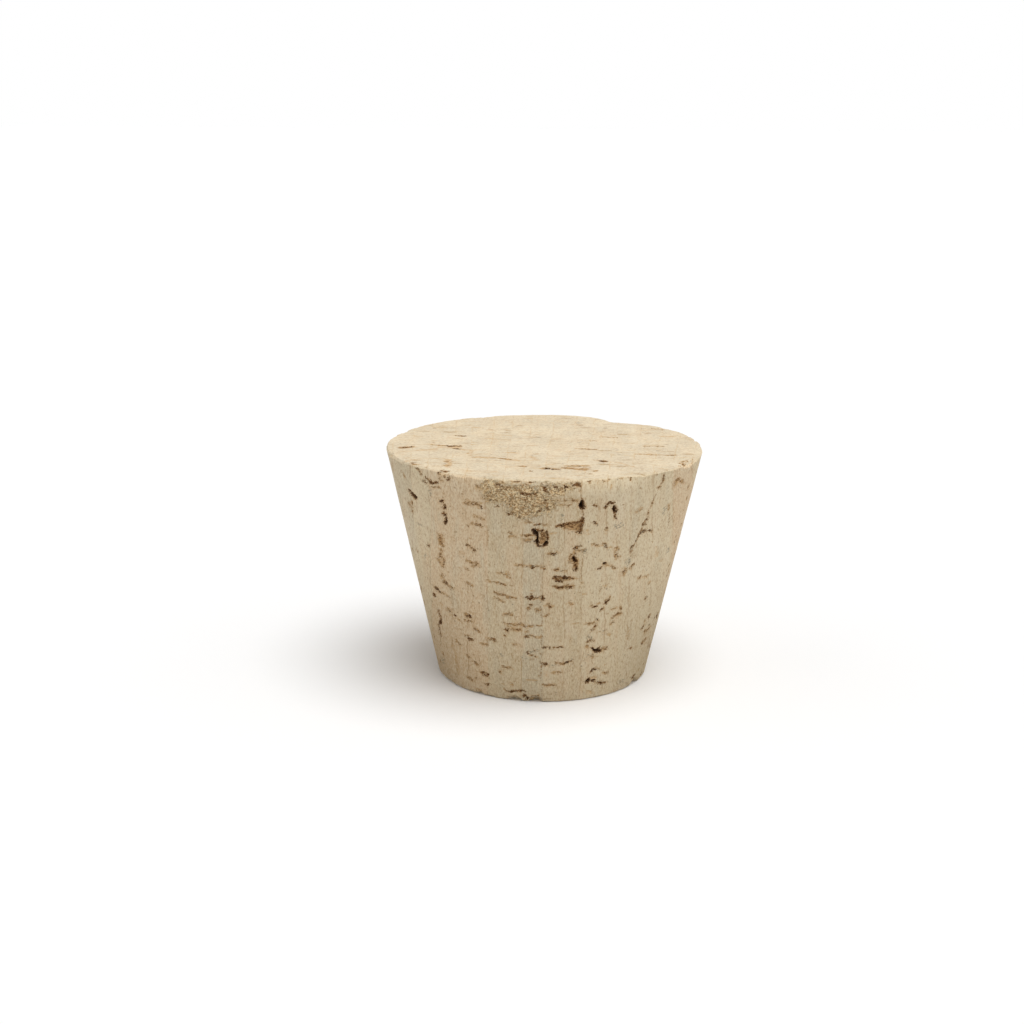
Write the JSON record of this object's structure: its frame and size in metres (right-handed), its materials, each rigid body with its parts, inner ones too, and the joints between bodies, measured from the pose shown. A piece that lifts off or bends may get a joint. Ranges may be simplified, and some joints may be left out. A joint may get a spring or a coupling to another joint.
{
  "type": "cork stopper",
  "caption": "Tapered round stopper of natural cork, standing on its small end, with open pores, small cracks and crumbled spots. It plugs the round neck of a jug, flask or bottle.",
  "frame": {"origin": "centre of the small end face, on which the stopper stands", "axes": "+Z along the axis of the cone towards the large end; X along the bark's outward direction, so growth rings are planes of constant X; -Y is the front"},
  "size_m": [0.034, 0.034, 0.025],
  "materials": {
    "cork": "cut natural cork, matt and unsealed"
  },
  "bodies": {
    "root": {"cork_body": "cork"}
  },
  "joints": []
}
